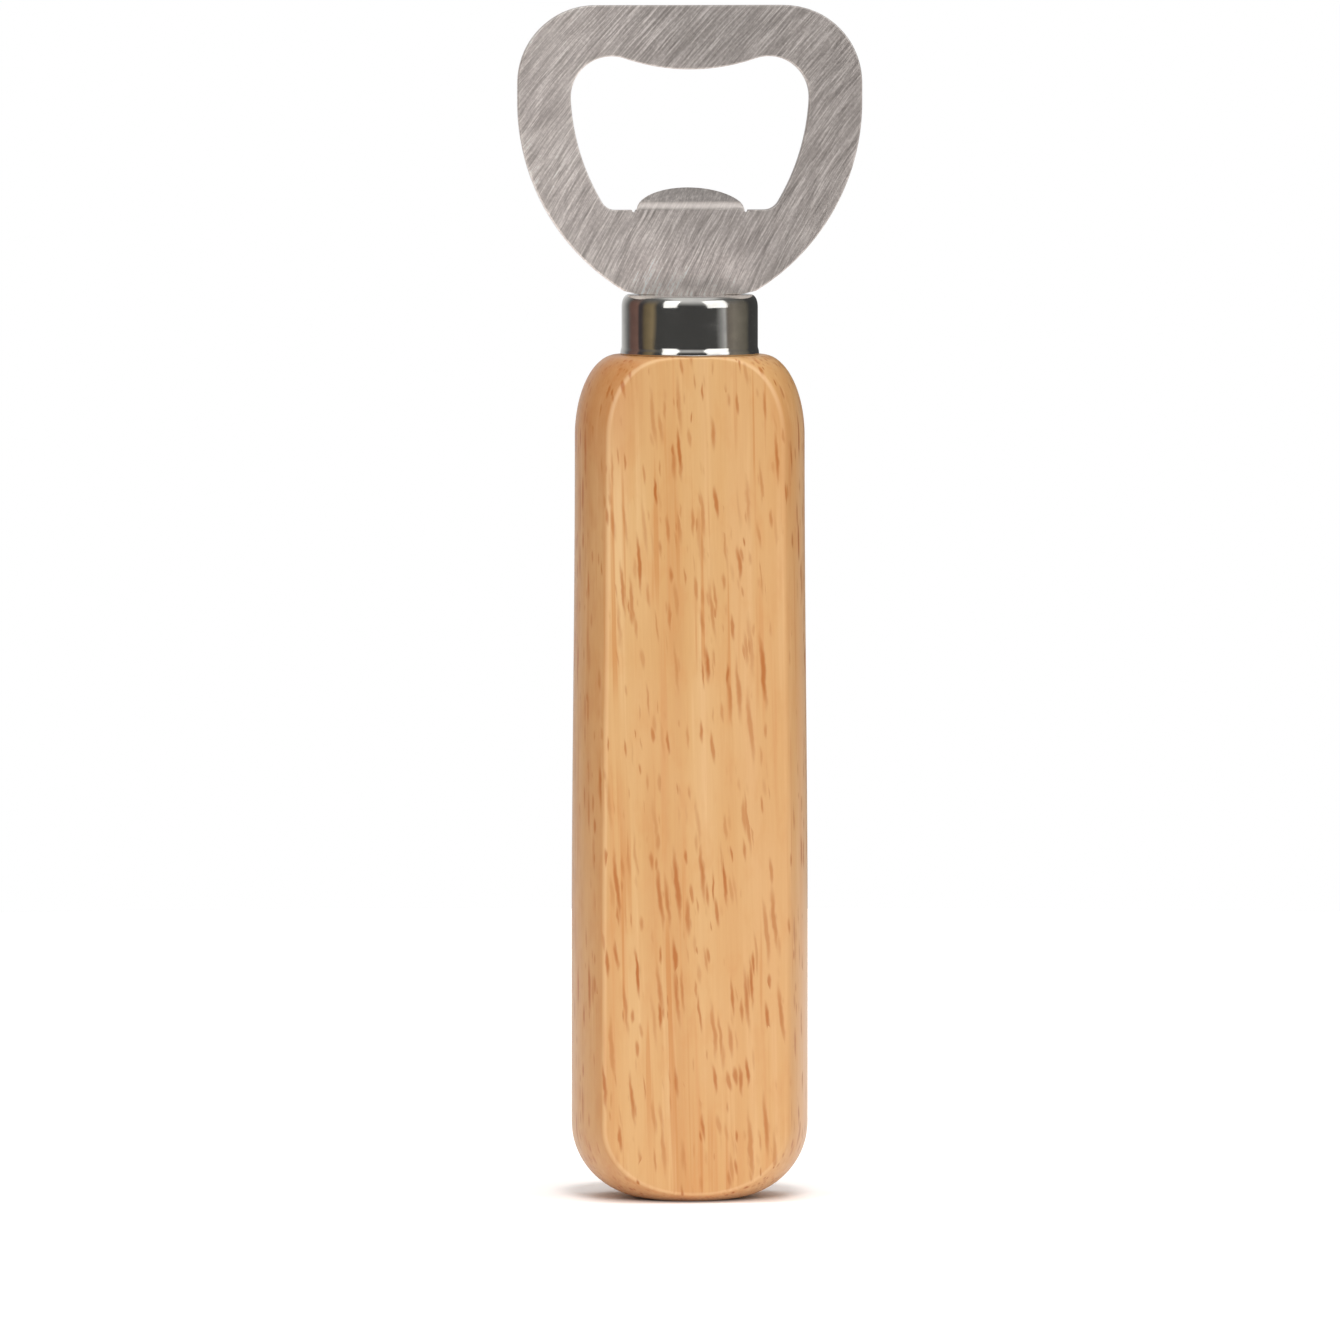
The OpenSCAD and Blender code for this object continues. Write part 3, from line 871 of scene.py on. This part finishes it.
def build_floor():
    """A pale disc with a faint glow, held back close behind the butt for the contact shadow."""
    rings = [(r, 0.0) for r in (20.0, 60.0, 150.0, 300.0, 500.0)]
    sheet = Sheet()
    rows = lathe(sheet, rings, np.radians(np.arange(0.0, 360.0, 5.0)))
    for a, b in zip(rows, rows[1:]):
        sheet.join(b, a)
    sheet.cap(rows[0], (0.0, 0.0, 0.0))
    obj = make_object("pale_floor", sheet)
    made = bpy.data.materials.new("pale_floor")
    made.use_nodes = True
    tree = made.node_tree
    tree.nodes.clear()
    out = node(tree, "ShaderNodeOutputMaterial")
    matte = node(tree, "ShaderNodeBsdfDiffuse", {0: FLOOR_COLOUR})
    where = node(tree, "ShaderNodeTexCoord").outputs["Object"]
    where = node(tree, "ShaderNodeMapping", {0: where, 1: (0.0, -0.009, 0.0), 3: (1.0, 0.9, 1.0)})
    reach = node(tree, "ShaderNodeVectorMath", {0: where.outputs[0]}, operation="LENGTH")
    reach = reach.outputs["Value"]
    glow = calc(tree, "ADD", remap(tree, reach, 0.0125, 0.017, 0.0, 0.34, True),
                remap(tree, reach, 0.1, 0.5, 0.0, 0.25))
    seen = node(tree, "ShaderNodeLightPath").outputs["Is Camera Ray"]
    glow = calc(tree, "MULTIPLY", glow, remap(tree, seen, 0.0, 1.0, 0.4, 1.0))
    lit = node(tree, "ShaderNodeEmission", {0: FLOOR_COLOUR, 1: glow})
    both = node(tree, "ShaderNodeAddShader", {0: matte.outputs[0], 1: lit.outputs[0]})
    tree.links.new(both.outputs[0], out.inputs[0])
    obj.data.materials.append(made)


def build_world():
    """White behind the opener, and a studio's dark and bright bands in what it reflects."""
    world = bpy.data.worlds.new("studio")
    bpy.context.scene.world = world
    world.use_nodes = True
    tree = world.node_tree
    tree.nodes.clear()
    out = node(tree, "ShaderNodeOutputWorld")
    way = node(tree, "ShaderNodeTexCoord").outputs["Generated"]
    parts = node(tree, "ShaderNodeSeparateXYZ", {0: way}).outputs
    # the compass turn as 0 to 1, a half being straight ahead of the camera side (-Y)
    turn = calc(tree, "ARCTAN2", parts[0], calc(tree, "MULTIPLY", parts[1], -1.0))
    turn = calc(tree, "MULTIPLY_ADD", turn, 0.5 / math.pi, 0.5)

    def at(deg):
        return 0.5 + deg / 360.0

    def grey(v, tint=(1.0, 1.0, 1.0)):
        return (v * tint[0], v * tint[1], v * tint[2], 1.0)

    around = ramp(tree, turn, [
        (at(-180), grey(0.80)), (at(-150), grey(0.50)), (at(-133), grey(0.16)),
        (at(-126), grey(0.18, (1.0, 0.58, 0.50))), (at(-106), grey(0.24, (1.0, 0.58, 0.48))),
        (at(-100), grey(0.07, (1.0, 0.85, 0.9))), (at(-92), grey(0.065, (1.0, 0.85, 0.9))),
        (at(-84), grey(0.17, (1.1, 0.85, 0.5))), (at(-71), grey(0.27, (1.1, 0.85, 0.5))),
        (at(-65), grey(0.07)), (at(40), grey(0.075)),
        (at(51), grey(0.36)), (at(57), grey(0.58)), (at(61), grey(0.20, (1.0, 0.87, 0.76))),
        (at(76), grey(0.28, (1.0, 0.90, 0.76))), (at(108), grey(0.16, (1.0, 0.92, 0.75))),
        (at(118), grey(0.06)), (at(168), grey(0.07)),
        (at(174), grey(0.5))])
    lift = remap(tree, parts[2], 0.15, 0.75, 0.0, 1.0, True)
    overhead = mix(tree, remap(tree, parts[1], -0.1, 0.6, 0.0, 1.0, True), grey(0.85), grey(0.3))
    wings = remap(tree, calc(tree, "ABSOLUTE", parts[0]), 0.3, 0.7, 0.0, 0.85, True)
    overhead = mix(tree, wings, overhead, grey(0.06))
    colour = mix(tree, lift, around, overhead)
    below = remap(tree, parts[2], -0.1, -0.5, 0.0, 1.0, True)
    colour = mix(tree, below, colour, grey(0.5))
    sees = node(tree, "ShaderNodeLightPath").outputs["Is Camera Ray"]
    back = node(tree, "ShaderNodeBackground", {0: colour, 1: 1.0})
    white = node(tree, "ShaderNodeBackground", {0: (1.0, 1.0, 1.0, 1.0), 1: 1.0})
    both = node(tree, "ShaderNodeMixShader", {0: sees, 1: back.outputs[0], 2: white.outputs[0]})
    tree.links.new(both.outputs[0], out.inputs[0])


def add_light(name, azimuth, elevation, distance, width, height, power, glossy=True):
    """A softbox that looks at the middle of the opener, from angles in degrees."""
    a, e = math.radians(azimuth), math.radians(elevation)
    aim = Vector((0.0, 0.0, 0.08))
    away = Vector((math.sin(a) * math.cos(e), -math.cos(a) * math.cos(e), math.sin(e)))
    lamp = bpy.data.lights.new(name, "AREA")
    lamp.shape = "RECTANGLE"
    lamp.size, lamp.size_y = width, height
    lamp.energy = power
    obj = bpy.data.objects.new(name, lamp)
    obj.visible_glossy = glossy
    obj.location = aim + away * distance
    obj.rotation_euler = away.to_track_quat("Z", "Y").to_euler()
    bpy.context.scene.collection.objects.link(obj)


def add_camera():
    """The photo's camera, with the opener where it stands in the photo's frame."""
    azimuth = math.radians(CAMERA_AZIMUTH)
    back = Vector((math.sin(azimuth), -math.cos(azimuth), 0.0))
    right = Vector((math.cos(azimuth), math.sin(azimuth), 0.0))
    aim = Vector((0.0, 0.0, 0.0645)) - right * 0.0024
    place = aim + back * CAMERA_DISTANCE
    place.z = CAMERA_HEIGHT
    cam = bpy.data.cameras.new("photo_view")
    cam.sensor_width = 36.0
    cam.lens = CAMERA_LENS
    cam.clip_start = 0.1
    cam.clip_end = 20.0
    obj = bpy.data.objects.new("photo_view", cam)
    obj.location = place
    obj.rotation_euler = (place - aim).to_track_quat("Z", "Y").to_euler()
    bpy.context.scene.collection.objects.link(obj)
    bpy.context.scene.camera = obj


build_floor()
build_world()
add_light("left_softbox", -39.0, 25.0, 1.3, 0.665, 0.95, 3.2)
add_light("right_softbox", 44.0, 25.0, 1.3, 0.89, 0.95, 4.0)
add_light("top_softbox", -5.0, 80.0, 1.2, 1.1, 0.9, 8.6, glossy=False)
add_light("front_fill", -5.0, 16.0, 1.8, 0.9, 0.5, 2.5, glossy=False)
add_camera()
bpy.context.scene.view_settings.view_transform = "Standard"
bpy.context.scene.view_settings.look = "None"
